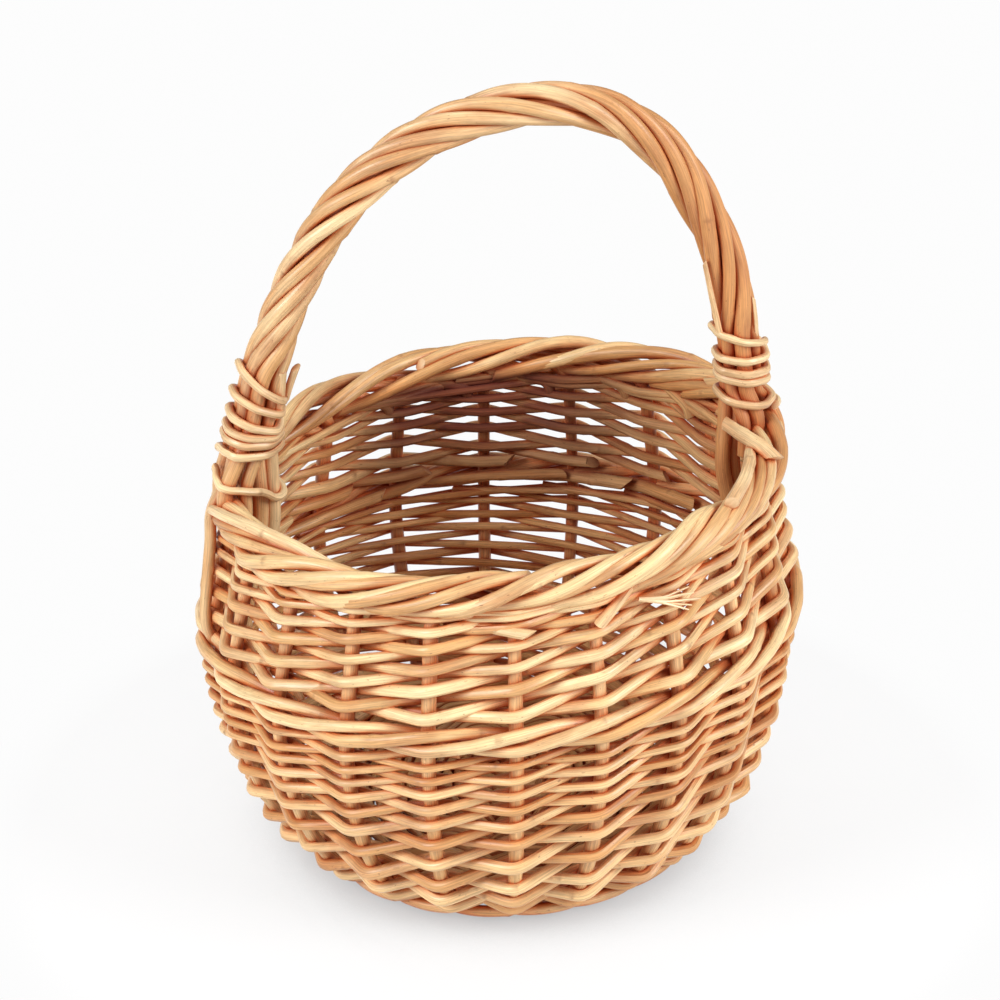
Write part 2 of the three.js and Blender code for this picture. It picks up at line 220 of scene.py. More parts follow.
def ease(corners, softness, step=ring_step):
    """Straight stretches between corners, rounded over about the softness, a length in mm."""
    line = resample(np.asarray(corners, float), fine_step)
    reach = int(3 * softness / fine_step)
    window = bell(np.arange(-reach, reach + 1) * fine_step, softness)
    window /= window.sum()
    steps = np.arange(1, reach + 1)[::-1, None]
    lead = line[0] - (line[1] - line[0]) * steps
    trail = line[-1] + (line[-1] - line[-2]) * steps[::-1]
    longer = np.vstack([lead, line, trail])
    eased = np.stack([np.convolve(longer[:, k], window, "valid") for k in range(3)], axis=1)
    return resample(eased, step)


def wander(count, spread, softness, seed):
    """A slow random drift, for what a hand never does quite evenly."""
    noise = np.random.default_rng(seed).normal(size=count + 6 * softness)
    window = bell(np.arange(-3 * softness, 3 * softness + 1), softness)
    return spread * np.convolve(noise, window / np.sqrt((window**2).sum()), "valid")[:count]


# %% The line's own frame, and the buds
bud_length, bud_width, bud_ring, bud_bump = 1.3, 0.55, 0.045, 0.13
first_bud, bud_spacing, bare_end = (6, 30), (26, 52), 4
scar_ring, scar_spot = 0.35, 0.65


def carried_frame(line):
    """Tangents, and two side directions carried along without twisting."""
    along = np.gradient(line, axis=0)
    along /= np.linalg.norm(along, axis=1)[:, None]
    side = np.cross(along[0], (0.0, 0.0, 1.0) if abs(along[0][2]) < 0.9 else (0.0, 1.0, 0.0))
    sides = np.empty_like(line)
    for k, tangent in enumerate(along):
        side = side - tangent * side.dot(tangent)
        side /= np.sqrt(side.dot(side))
        sides[k] = side
    return along, sides, np.cross(along, sides)


def bud_places(length, seed):
    draw = np.random.default_rng(seed)
    places, at = [], draw.uniform(*first_bud)
    while at < length - bare_end:
        places.append(at)
        at += draw.uniform(*bud_spacing)
    return places, draw.uniform(0, 2 * np.pi, len(places))


def add_buds(shape, along, turn, seed):
    """Swell the rod all round at each bud, more on the bud's own side, and note its scar."""
    scar = np.zeros_like(shape)
    for at, face in zip(*bud_places(along[-1], seed)):
        near = np.exp(-(((along - at) / bud_length) ** 2))[:, None]
        off = np.abs((turn - face + np.pi) % (2 * np.pi) - np.pi)
        toward = np.exp(-((off / bud_width) ** 2))[None]
        shape = shape + near * (bud_ring + bud_bump * toward)
        scar = np.maximum(scar, near * (scar_ring + scar_spot * toward))
    return shape, scar


# %% Loft one rod
ovalness, oval_turn, thickness_drift = 0.05, 0.012, 0.018
face_size, face_bulge, face_rise = 0.86, 0.10, 0.08


def rod_faces(count, sides):
    """Walls from ring to ring, a bevel round each end, and a fan that closes it."""
    this = np.arange(sides)
    after, hub = (this + 1) % sides, np.full(sides, sides)
    start = np.arange(count - 1)[:, None] * sides
    walls = np.stack([start + this + sides, start + after + sides, start + after, start + this], -1)
    end, first, last = (count - 1) * sides, count * sides, (count + 1) * sides + 1
    faces = walls.reshape(-1, 4).tolist()
    for corners in (
        [this, after, first + after, first + this],
        [end + after, end + this, last + this, last + after],
        [first + this, first + after, first + hub],
        [last + after, last + this, last + hub],
    ):
        faces += np.stack(corners, -1).tolist()
    return faces


def loft_rod(line, radii, seed, sides=12, cuts=(0.5, 0.5), tone=None):
    """One rod as (vertices, faces, grain, marks). cuts are the slants of its two end faces."""
    count = len(line)
    radii = np.interp(np.linspace(0, 1, count), np.linspace(0, 1, len(radii)), radii)
    draw = np.random.default_rng(seed)
    tone = draw.uniform(0, 1) if tone is None else tone
    along = distances_along(line)
    tangents, across, beside = carried_frame(line)
    turn = 2 * np.pi * np.arange(sides) / sides
    flatter = turn[None] - draw.uniform(0, np.pi) - oval_turn * along[:, None]
    shape = 1 + ovalness * np.cos(2 * flatter)
    shape = shape + wander(count, thickness_drift, 5, seed + 1)[:, None]
    shape, scar = add_buds(shape, along, turn, seed + 2)
    reach = radii[:, None] * shape
    x, y = np.cos(turn), np.sin(turn)
    spokes = across[:, None] * x[None, :, None] + beside[:, None] * y[None, :, None]
    rings = line[:, None] + spokes * reach[:, :, None]
    grain = np.stack([reach * x, reach * y, np.repeat(along[:, None], sides, 1)], -1)
    face_spots, face_grains = [], []
    for end, way, slant in ((0, -1, cuts[0]), (-1, 1, cuts[1])):
        lift = slant * radii[end] * np.cos(turn - draw.uniform(0, 2 * np.pi))
        rings[end] += tangents[end] * lift[:, None]
        grain[end, :, 2] += lift
        outward = way * tangents[end]
        middle = rings[end].mean(axis=0) + outward * face_bulge * radii[end]
        bevel = rings[end] * face_size + middle * (1 - face_size)
        flat = grain[end] * (face_size, face_size, 1)
        face_spots += [bevel + outward * face_rise * radii[end], [middle]]
        face_grains += [flat, [flat.mean(axis=0)]]
    vertices = np.vstack([rings.reshape(-1, 3), *face_spots])
    grains = np.vstack([grain.reshape(-1, 3), *face_grains])
    cut = np.arange(len(vertices)) >= count * sides
    scars = np.append(scar, np.zeros(2 * sides + 2))
    marks = np.stack([np.full(len(vertices), tone), scars, cut], axis=1)
    grains += np.array([17.0, 29.0, 41.0]) * draw.uniform(1, 9)
    return vertices, rod_faces(count, sides), grains, marks


trial = loft_rod(ease([(0, 0, 0), (0, 0, 60)], 2.0), [2.0, 1.6], 1)
print("a straight rod of 60 mm has", len(trial[0]), "vertices and", len(trial[1]), "faces")

# %% [markdown]
# ## How rods become a piece
#
# Some pieces are one rod, others a stake with its companion or all the rods of half a band. Their
# rods are joined in one mesh without being fused. The third thing a vertex remembers is `inside`:
# the share of painted shade in its colour. Rods inside the wall get less light, and their colour is
# painted darker and redder as shade, most of all high on the far side.

# %% Say how much shade is painted on a place
# Painted shade: these set where the inside of the basket is painted darker, most high on the far
# side and less on the left.
behind_wall, below_rim, far_back, far_up = (-0.5, 3.5), (-1, 7), (52, 26), (62, 42)
far_by_side = ([-65, -25], [0.4, 1])
nearby_by_side = ([-70, -5, 70], [0.02, 0.26, 0.5])
# Painted shade on the handle: its share of the inside shade, and its darkening towards the right.
handle_inside_shade, handle_shade, handle_right_shade_span = 0.3, 0.25, (20, 50)


def inside_shade_share(places):
    """Share of painted shade: 0 outside the wall, more inside it, and 1 high on the far side, where
    least light comes.
    """
    x, y, z = places.T
    height = z / (1 + lean_slope * x)
    wall = np.interp(height, wall_line[:, 1], wall_line[:, 0])
    sheltered = ramp(wall - np.hypot(x, y), *behind_wall) * ramp(rim_height - height, *below_rim)
    far_side = ramp(y, *far_back) * np.interp(x, *far_by_side) * ramp(height, *far_up)
    nearby = np.interp(x, *nearby_by_side)
    return sheltered * (nearby + (1 - nearby) * far_side)


# %% Gather rods into one piece
finish_of = {}


def write_attributes(mesh, grain, marks, share):
    """What the finish reads at each vertex."""
    # `inside` carries the share of painted shade.
    for label, kind, field, values in (
        ("grain", "FLOAT_VECTOR", "vector", grain),
        ("rod_marks", "FLOAT_VECTOR", "vector", marks),
        ("inside", "FLOAT", "value", share),
    ):
        layer = mesh.attributes.new(label, kind, "POINT")
        layer.data.foreach_set(field, values.astype(np.float32).ravel())


def finish_piece(piece, finish, slot, *nodes):
    """Smooth it, note its finish, say what it rides on, and hide the frame's nodes it stands for.
    """
    bpy.ops.object.select_all(action="DESELECT")
    piece.select_set(True)
    bpy.context.view_layer.objects.active = piece
    bpy.ops.object.shade_smooth_by_angle(angle=math.radians(40))
    piece.data.materials.clear()
    finish_of[piece.name] = finish
    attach(piece, "root")
    if nodes:
        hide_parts(*nodes)


def make_piece(name, rods, finish, slot, *nodes):
    """One mesh object from lofted rods. It rides on the basket and stands for these nodes."""
    vertices, rod_corners, grains, marks = zip(*rods)
    places = np.vstack(vertices)
    places[:, 2] = np.maximum(places[:, 2], 0)
    starts = np.cumsum([0, *map(len, vertices)]).tolist()
    faces = [
        [corner + start for corner in face]
        for corners, start in zip(rod_corners, starts)
        for face in corners
    ]
    mesh = bpy.data.meshes.new(name)
    mesh.from_pydata((places * mm).tolist(), [], faces)
    share = inside_shade_share(places)
    # Painted shade: the handle gets less of the inside shade, and is painted darker towards its
    # right.
    if finish == "handle":
        share = handle_inside_shade * share + handle_shade * ramp(places[:, 0], *handle_right_shade_span)
    write_attributes(mesh, np.vstack(grains) * mm, np.vstack(marks), share)
    mesh.update()
    piece = bpy.data.objects.new(name, mesh)
    bpy.context.collection.objects.link(piece)
    finish_piece(piece, finish, slot, *nodes)
    return piece


def report(what, pieces):
    faces = sum(len(piece.data.polygons) for piece in pieces)
    print(what, "pieces:", len(pieces), "faces:", faces)


# %% [markdown]
# ## The base
#
# A round base starts as a cross: three thick sticks are pierced, two more are pushed through
# them, and their ten ends are spread like spokes. Two thin rods then spiral out over and under
# them. The sticks are modelled as by hand: a circle is drawn at one end and extruded from station
# to station, which is enough for thick, straight sticks. The weave is lofted.

# %% Where the base sticks lie
pierced_radius, through_radius = 3.3, 2.2
stick_end_radius, base_edge_rise, base_dome = 58.0, 1.1, 2.0
slath_half = 10.0
pierced_spacing = 2 * pierced_radius + clearance
through_spacing = 2 * through_radius + clearance


def stick_end_angle(end):
    return float(stake_angle(2 * end) + stake_angle(2 * end + 1)) / 2


def base_height(radius):
    return stake_root_height + base_edge_rise + base_dome * (1 - (radius / stick_end_radius) ** 2)


def slath_point(along, aside):
    angle = stick_end_angle(1)
    x = along * math.cos(angle) - aside * math.sin(angle)
    y = along * math.sin(angle) + aside * math.cos(angle)
    return lean([x, y, base_height(0)])


def stick_tip(end):
    return lean(polar(stick_end_radius, stick_end_angle(end), base_height(stick_end_radius)))


stick_plan = []
for row in (-1, 0, 1):
    ends = (1 + row, 6 - row)
    near = [slath_point(along, row * pierced_spacing) for along in (slath_half, -slath_half)]
    stick_plan.append(("pierced", row + 2, row + 2, ends, near, pierced_radius))
for row in (0, 1):
    ends, reach = (4 - row, 9 + row), slath_half + pierced_spacing / 2
    near = [slath_point((row - 0.5) * through_spacing, aside) for aside in (reach, -reach)]
    stick_plan.append(("through", row + 1, row + 5, ends, near, through_radius))
print("base sticks planned:", len(stick_plan))


# %% Extrude the base sticks
stick_softness, stick_step, stick_sides = 3.0, 4.0, 14
stick_inside_shade, tone_step, grain_step = 0.2, 0.37, 0.03


def extrude_stick(name, stations, radius):
    """A stick from a circle, extruded along its stations with bpy.ops."""
    line = ease(stations, stick_softness, stick_step) * mm
    start = Vector(line[0])
    turned = (Vector(line[1]) - start).to_track_quat("Z", "Y").to_euler()
    bpy.ops.object.select_all(action="DESELECT")
    bpy.ops.mesh.primitive_circle_add(
        vertices=stick_sides, radius=radius * mm, fill_type="NGON", location=start, rotation=turned
    )
    stick = bpy.context.object
    stick.name = name
    bpy.ops.object.transform_apply(location=True, rotation=True, scale=True)
    bpy.ops.object.mode_set(mode="EDIT")
    bpy.ops.mesh.select_all(action="SELECT")
    for here, there in zip(line[:-1], line[1:]):
        step = Vector(there) - Vector(here)
        bpy.ops.mesh.extrude_region_move(TRANSFORM_OT_translate={"value": step})
    bpy.ops.mesh.select_all(action="SELECT")
    bpy.ops.mesh.normals_make_consistent(inside=False)
    bpy.ops.object.mode_set(mode="OBJECT")
    return stick, line


def mark_stick(stick, line, seed):
    """Grain and marks for a stick that was extruded: its length runs along the line."""
    spots = np.empty(len(stick.data.vertices) * 3)
    stick.data.vertices.foreach_get("co", spots)
    spots = spots.reshape(-1, 3)
    heading = line[-1] - line[0]
    heading = heading / np.linalg.norm(heading)
    along = (spots - line[0]) @ heading
    off = spots - line[0] - along[:, None] * heading
    grain = np.stack([off @ np.cross(heading, (0, 0, 1)), off[:, 2], along], axis=1)
    marks = np.tile([(tone_step * seed) % 1, 0.0, 0.0], (len(spots), 1))
    # Painted shade: above the foot, where it lies inside the basket, a stick gets a little of the
    # inside shade.
    share = stick_inside_shade * (spots[:, 2] > stake_root_height * mm)
    write_attributes(stick.data, grain + grain_step * seed, marks, share)


base_sticks = []
for kind, number, seed, ends, near, radius in stick_plan:
    stations = [stick_tip(ends[0]), *near, stick_tip(ends[1])]
    stick, line = extrude_stick(f"willow_{kind}_stick_{number}", stations, radius)
    mark_stick(stick, line, seed)
    finish_piece(stick, "base", "willow_base", f"base_stick_{kind}_{number}")
    base_sticks.append(stick)
report("base sticks", base_sticks)

# %% Base weave
base_weaver_radius, base_start, base_end, base_rows = 1.5, 13.0, 60.6, 24
base_reach = 1.02 * (pierced_radius + base_weaver_radius)
crossing_half, widest_half, edge_half, edge_from = 0.14, 2.64, 6.6, 50
stick_ends = stake_count // 2
base_pieces = []
for weaver in range(2):
    corners = []
    for crossing in range(base_rows // 2 * stick_ends + 1):
        radius = base_start + (base_end - base_start) / base_rows * 2 * crossing / stick_ends
        above = 1 if crossing % 2 == 0 else -1
        half = edge_half if radius > edge_from else min(widest_half, crossing_half * radius)
        for shift in (-half / radius, half / radius):
            angle = stick_end_angle(crossing + weaver * stick_ends // 2) + shift
            corners.append(lean(polar(radius, angle, base_height(radius) + above * base_reach)))
    radii = [base_weaver_radius * 1.08, base_weaver_radius * 0.92]
    rod = loft_rod(ease(corners, 1.4, 1.8), radii, 300 + weaver, sides=8)
    name = f"base_weaver_{weaver + 1}"
    base_pieces.append(make_piece(f"willow_{name}", [rod], "base", "willow_base", name))
report("base weave", base_pieces)

# %% [markdown]
# ## Stakes and border
#
# Twenty stakes stand round the base. Above the siding each one is laid over to the right and
# becomes part of the border: it leaves the wall at the bottom of the border, comes up round the
# outside, goes over the top and ends inside, almost four stakes further on. With a second rod
# put in beside each stake, seven or eight lie side by side at any place, so the border looks like
# a slack rope. One stake makes both forms, so each is one rod with one sharp bend.

# %% A rod's run in the border
phase_per_stake = math.radians(98)
border_rod_radius = 1.95
border_step = 0.12
tuck_start, tuck_length, tuck_depth = 3.1, 0.8, 0.9
short_ends = {1: 2.35, 7: 2.35, 14: 2.4, 18: 2.3}


def border_point(position, phase, reach):
    radius = rim_radius + reach * np.cos(phase)
    return lean(polar(radius, stake_angle(position), rim_height + reach * np.sin(phase)))


def border_run(start, first, last, seed):
    """A rod's turns round the border: up the outside, over the top and down the inside."""
    travel = np.arange(first, last, border_step)
    draw = np.random.default_rng(seed + 2)
    reach = border_reach + draw.uniform(-0.5, 0.6) + wander(len(travel), 0.5, 6, seed + 3)
    phase = travel * phase_per_stake * draw.uniform(0.86, 1.16) - np.pi / 2
    phase = phase + wander(len(travel), 0.26, 7, seed + 4)
    tucked = tuck_depth * ramp(travel, tuck_start, tuck_length)
    return border_point(start + travel, phase, reach + tucked)


# %% Stakes and their companions
bend_radius, root_radius = 4.5, 52


def stake_corners(index, seed):
    draw = np.random.default_rng(seed)
    side = -1 if index % 2 == 0 else 1
    beside_stick = (pierced_radius + stake_radius + clearance) / root_radius
    root_angle = stick_end_angle(index // 2) + side * beside_stick
    root = lean(polar(root_radius, root_angle, stake_root_height))
    top = wall_length + stake_radius - bend_radius
    heights = np.linspace(0, top, 40)
    sway = wander(len(heights), 0.0018, 6, seed)
    wall = wall_point(stake_angle(index) + sway, heights, 0)
    bend = bend_radius / (rim_radius * float(stake_angle(index + 1) - stake_angle(index)))
    corner = wall_point(stake_angle(index + 0.3 * bend), top + 0.7 * bend_radius, 0)
    last = short_ends.get(index, draw.uniform(3.5, 3.95))
    return np.vstack([[root], wall, [corner], border_run(index, bend, last, seed)])


def companion_corners(index, seed):
    """A shorter rod put in beside the stake, laid down with it to thicken the border."""
    draw = np.random.default_rng(seed)
    heights = np.linspace(wall_length - 5, wall_length - 2, 3)
    lead = wall_point(stake_angle(index + 0.2), heights, -2.6)
    last = short_ends.get(index + 10, draw.uniform(3.3, 3.8))
    return np.vstack([lead, border_run(index + 0.5, border_step, last, seed)])


stake_pieces = []
for index in range(stake_count):
    seed = 1000 + 10 * index
    size = np.random.default_rng(seed + 5).uniform(0.84, 1.16, 2)
    run = border_rod_radius * np.array([1.04, 1.0, 0.9])
    line = ease(stake_corners(index, seed), 1.7)
    stake = loft_rod(line, [2.2, 2.2, 2.15, *run * size[0]], seed, cuts=(0.2, 0.9))
    line = ease(companion_corners(index, seed + 500), 1.7)
    companion = loft_rod(line, run * size[1], seed + 500, cuts=(0.3, 1.0))
    number, rods = f"{index + 1:02d}", [stake, companion]
    stake_pieces.append(
        make_piece(f"willow_stake_{number}", rods, "stake", "willow_stake", f"side_stake_{number}")
    )
report("stakes and border", stake_pieces)

# %% [markdown]
# ## Wales
#
# A wale is a band of three thick rods, each before two stakes and behind the third. One wale
# turns the stakes up at the foot, and its lowest bends are what the basket stands on, so they are
# worn flat. A second wale locks the belly. Where a wale rod was joined in, its butt is left
# poking out on the inside.

# %% The line of a wale rod
wale_stops = [(-1, 0), (0, -1), (1, -1), (1.1, 0), (1, 1), (0, 1)]
lean_squash = 1 - lean_slope * belly_radius
visible_wale_radius = 2.0
wale_reach = 0.98 * (stake_radius + visible_wale_radius)
wale_start = 7


def wale_line(along_wall, rod, spread, seed):
    """Before two stakes and behind one, all the way round, with the butt and the tip inside."""
    draw = np.random.default_rng(seed)
    start = wale_start + rod
    corners = [wall_point(stake_angle(start - 0.75), along_wall + 1.2, -1.55 * wale_reach)]
    for half in range(2 * stake_count + 1):
        out, rise = wale_stops[half % 6]
        height = along_wall + rise * spread + draw.normal(0, 0.2)
        corners.append(wall_point(stake_angle(start + half / 2), height, out * wale_reach))
    end = stake_angle(start + stake_count + 0.9)
    corners.append(wall_point(end, along_wall + 0.4 * spread, -0.9 * wale_reach))
    return ease(corners, 2.6)


def joined_butt(along_wall, rod, seed):
    """The butt of a rod that was joined in: it lies inside, beside the rod it took over from."""
    start = wale_start + 3 + rod
    draw = np.random.default_rng(seed)
    lift = draw.uniform(-1.5, 3.0)
    corners = [
        wall_point(stake_angle(start + at), along_wall + rise, out * wale_reach)
        for at, rise, out in (
            (-draw.uniform(0.3, 0.95), lift, -1.5),
            (0, 0.7 * lift, -1.45),
            (0.75, -0.6, -0.35),
        )
    ]
    return loft_rod(ease(corners, 2.6), [1.9, 1.8, 1.6], seed, cuts=(1.2, 0.4))


# %% Foot wale and middle wale
middle_wale_height, foot_wale_height = 87.6, 3.4


def make_wale(place, along_wall, squash, first_seed):
    pieces = []
    spread = (visible_wale_radius + 0.25) / squash
    radii = visible_wale_radius * np.array([1.12, 1.0, 0.92])
    for rod, letter in enumerate("abc"):
        seed = first_seed + rod
        strands = [loft_rod(wale_line(along_wall, rod, spread, seed), radii, seed, cuts=(1.2, 0.6))]
        if place == "middle" and letter != "b":
            strands.append(joined_butt(along_wall, rod, seed + 20))
        name, node = f"willow_{place}_wale_{letter}", f"{place}_wale_rod_{letter}"
        pieces.append(make_piece(name, strands, "wale", "willow_wale", node))
    return pieces


wale_pieces = make_wale("foot", foot_wale_height, squash=1.0, first_seed=450)
wale_pieces += make_wale("middle", middle_wale_height, squash=lean_squash, first_seed=400)
report("wales", wale_pieces)

# %% [markdown]
# ## Siding
#
# Both bands of siding are woven as French randing. One rod is put in beside each stake, with its
# butt inside, and worked before one stake and behind the next, rising by one row each time. So
# twenty rods make each band, all alike, and the rows tighten towards the top as the rods thin
# out to their tips. At every stake the strokes lie one above the other. At the back of the foot
# thicker rods leave no light between them.

# %% One rod of the siding
lower_rows = (
    [0, 2.5, 4.5, 6.5, 8.5, 10.5, 12.5, 14.5, 16.5, 18.5, 20],
    [7, 18, 28.3, 39.6, 49.4, 57.3, 63.8, 69.5, 74.7, 79.4, 82.4],
)
upper_rows = ([0, 2.5, 4.5, 6.5, 8.5, 10, 12], [93.8, 104.0, 111.2, 117.6, 123.0, 126.2, 128.6])
thinning = [0, 0.14, 0.5, 0.8, 1]
crowding, back_extra, back_reach, foot_top, foot_fade = 0.45, 0.38, 60, 48, 20
height_scatter, reach_scatter, place_scatter = 0.32, 0.16, 0.015


def siding_rod(stake, rows, height_table, butt, tip, extra, seed):
    """Before one stake and behind the next, one row up each time; extra turns crowd the top."""
    draw = np.random.default_rng(seed)
    bottom = height_table[1][0]
    corners = [wall_point(stake_angle(stake - 1.3), bottom + 0.9, -(stake_radius + butt) * 1.2)]
    last = rows + extra
    for crossing in range(-1, last + 1):
        radius = butt + (tip - butt) * ((crossing + 1) / (last + 1))
        outside = 1 if crossing % 2 == 0 else -1
        row = max(crossing + 0.5, 0.12)
        row = row if row < rows else rows + crowding * (row - rows)
        height = float(np.interp(row, *height_table)) + draw.normal(0, height_scatter)
        reach = outside * (stake_radius + radius + 0.2 + draw.normal(0, reach_scatter))
        at = stake + crossing + draw.normal(0, place_scatter)
        if crossing == last:
            at, reach = at + 0.35, -0.4 * abs(reach)
        corners.append(wall_point(stake_angle(at), height, reach))
    line = ease(corners, 2.2)
    taper = np.interp(np.linspace(0, 1, len(line)), np.linspace(0, 1, len(thinning)), thinning)
    thicker = ramp(line[:, 1], 0, back_reach) * ramp(foot_top - line[:, 2], 0, foot_fade)
    radii = (butt + (tip - butt) * taper) * (1 + back_extra * thicker)
    return loft_rod(line, radii, seed, sides=10, cuts=(1.0, 0.3))


# %% Weave the two bands
def weave_band(band, rows, height_table, butt, tip, most_extra, first_seed):
    halves = [[], []]
    for stake in range(stake_count):
        seed = first_seed + 7 * stake
        draw = np.random.default_rng(seed + 5)
        size = draw.uniform(0.86, 1.1)
        extra = int(draw.integers(0, most_extra + 1))
        rod = siding_rod(stake, rows, height_table, butt * size, tip * size, extra, seed)
        halves[stake % 2].append(rod)
    slot = f"willow_{band}_siding"
    return [
        make_piece(f"{slot}_{n}", rods, f"{band}_siding", slot, f"{band}_siding_weaver_{n}")
        for n, rods in enumerate(halves, 1)
    ]


siding = weave_band("lower", 20, lower_rows, 1.98, 1.22, most_extra=0, first_seed=2000)
siding += weave_band("upper", 10, upper_rows, 2.0, 1.3, most_extra=3, first_seed=3000)
report("siding", siding)

# %% [markdown]
# ## The handle
#
# The handle is one thick bow rod whose ends are pushed down into the siding, with six thinner
# rods wound round it like a rope. They turn faster on the left than on the right. At each foot
# they run straight, spread side by side, and go down into the border or inside the wall, but one
# is hooked down outside. The bow's line is drawn first, and every rod of the handle is placed
# beside it.

# %% Name points at the feet of the handle
bow_radius, wrap_radius, wrap_count = 2.5, 2.2, 6
wrap_reach = bow_radius + wrap_radius + 0.05
bow_inset = 9.6


def foot_point(side, out, height, aside=0.0):
    """A spot at a foot of the handle: out from the middle of the border, height in the basket."""
    return lean([side * (rim_radius + out), aside, height])


def in_wall(side, along, out, aside=0.0):
    spot = wall_point(math.pi if side < 0 else 0.0, along, out)
    spot[1] = aside
    return spot


# %% The line of the bow
arch_knots = [
    (-76.2, 146), (-74.0, 158), (-69.0, 174.5), (-61.2, 194), (-50.4, 213), (-34.5, 229.3),
    (-16.6, 240.4), (2, 246), (17, 247.4), (31.5, 245.1), (44.5, 237.8), (55, 227),
    (62.6, 214.4), (68.9, 200.5), (73, 187.3), (75.6, 172), (77.6, 157), (77.4, 148),
]
pushed_in = np.linspace(76, wall_length + 2, 10)
inside_run = {
    side: [in_wall(side, along, -bow_inset) for along in pushed_in] for side in (-1, 1)
}
arch = catmull_rom(arch_knots, 24)
arch = np.stack([arch[:, 0], 0 * arch[:, 0], arch[:, 1]], axis=1)
bow_line = ease(np.vstack([inside_run[-1], arch, inside_run[1][::-1]]), 4.5, 1.0)
bow_distances = distances_along(bow_line)
bow_tangents = np.gradient(bow_line, bow_distances, axis=0)
left_leg_distance, right_leg_distance = (
    bow_distances[np.argmin(np.linalg.norm(bow_line - end, axis=1))] for end in (arch[0], arch[-1])
)
print("bow length, mm:", round(bow_distances[-1], 1))


def bow_frame(distance):
    """The bow's point, tangent and outward direction at distances along it."""
    distance = np.asarray(distance, float)
    point, tangent = (
        np.stack([np.interp(distance, bow_distances, table[:, k]) for k in range(3)], axis=-1)
        for table in (bow_line, bow_tangents)
    )
    tangent /= np.linalg.norm(tangent, axis=-1, keepdims=True)
    outward = np.stack([-tangent[..., 2], 0 * tangent[..., 0], tangent[..., 0]], axis=-1)
    return point, tangent, outward


def beside_bow(distance, reach, phase):
    """Phase 0 is away from the basket's middle, a quarter turn is the front."""
    point, _, outward = bow_frame(distance)
    point = point + outward * (reach * np.cos(phase))[..., None]
    point[..., 1] -= reach * np.sin(phase)
    return point


# %% How the wound rods turn, and how they end at the feet
wrap_turns, twist_ease = 2.5, 0.25
twist_start = left_leg_distance + 20
twist_end = right_leg_distance - 22
under_siding = [(1.8, 108, 0), (4.2, 113, 0)]
under_wale = [(6.0, 82, -9), (9.6, 87, -8.5), (10.2, 93, -7.5), (9.2, 101, -5.5), (7.9, 111, -3)]
over_edge = [(6.6, 119.5, 0), (7.0, 126, 0), (4.9, 132, 0), (0.6, 138, 0)]


def wrap_phase(wrap, distance):
    share = ramp(distance, twist_start, twist_end - twist_start)
    eased = share * (1 + twist_ease) - twist_ease * share * share
    return 2 * np.pi * (wrap + 0.5) / wrap_count + 2 * np.pi * wrap_turns * eased


def hooked_foot(side, aside, lower):
    """Down outside the border, close to it, and in under the siding or the wale."""
    spots = lower + over_edge
    return [foot_point(side, out, height, aside + shift) for out, height, shift in spots]


def pushed_foot(side, out, aside):
    """Pushed down into the border from above."""
    return [foot_point(side, out, height, aside) for height in (123, 129, 136)]


def inner_foot(side, along, out, aside):
    """Down inside the wall."""
    return [in_wall(side, at, out, aside) for at in (along, along + 8, wall_length + 1)]


left_feet = [
    hooked_foot(-1, -4.5, under_wale),
    pushed_foot(-1, 2.0, -8.0),
    pushed_foot(-1, -4.6, -6.4),
    inner_foot(-1, 104, -13.4, 1.5),
    pushed_foot(-1, -4.4, 6.5),
    pushed_foot(-1, 3.2, 4.0),
]
right_feet = [
    hooked_foot(1, 3.5, under_siding),
    pushed_foot(1, -2.4, -5.0),
    pushed_foot(1, -7.0, -8.0),
    inner_foot(1, 110, -13.2, -3.6),
    inner_foot(1, 116, -11.0, 4.4),
    pushed_foot(1, -2.0, 7.0),
]


def rank_feet(far_out, feet):
    """Give each wrap the foot that lies on its own side of the bow."""
    phases = np.array([float(wrap_phase(wrap, far_out)) for wrap in range(wrap_count)])
    order = np.argsort(np.mod(phases + math.radians(10), 2 * np.pi))
    return {int(wrap): feet[place] for place, wrap in enumerate(order)}


feet_left, feet_right = rank_feet(0.0, left_feet), rank_feet(np.inf, right_feet)
print("order of the wound rods at the left foot:", list(feet_left))

# %% Bow rod and the six rods wound round it
bow_rod = loft_rod(ease(bow_line, 2), [2.6, 2.5, 2.4], 500)
handle_pieces = [make_piece("willow_bow_rod", [bow_rod], "handle", "willow_bow", "handle_bow")]
wrap_lines = []
for wrap in range(wrap_count):
    distance = np.arange(left_leg_distance + 3, right_leg_distance - 3, 2.0)
    drift = wander(len(distance), 0.10, 10, 520 + wrap)
    swell = wrap_reach + wander(len(distance), 0.22, 9, 540 + wrap)
    middle = beside_bow(distance, swell, wrap_phase(wrap, distance) + drift)
    wrap_lines.append(ease(np.vstack([feet_left[wrap], middle, feet_right[wrap][::-1]]), 3.0))
    butt, tip = (1.1, 0.86) if wrap % 2 else (0.88, 1.1)
    radii = wrap_radius * np.array([butt, 1.0, tip])
    rod = loft_rod(wrap_lines[-1], radii, 560 + wrap, cuts=(0.6, 0.6))
    places, _, _, marks = rod
    # Painted shade: the wound rods' tone is pushed towards honey and russet towards the right.
    marks[:, 0] += 0.7 * ramp(places[:, 0], *handle_right_shade_span)
    name = f"handle_wrap_{wrap + 1}"
    handle_pieces.append(make_piece(f"willow_{name}", [rod], "handle", "willow_wrap", name))
report("handle", handle_pieces)
print("wound rods, mm:", [round(distances_along(line)[-1]) for line in wrap_lines])

# %% [markdown]
# ## The bindings
#
# A thin rod is wound a few times round each foot of the handle and tucked under itself. Pulled
# tight, it lies straight from rod to rod, so it is laid on the outline of the bundle at each
# height. Wound by hand, its turns bunch together and cross, and its tail is left standing.

# %% Find the outline of the bundle of rods
facings = np.linspace(0, 2 * np.pi, 73)[:-1]
binding_lift, bundle_reach = 1.35, 22


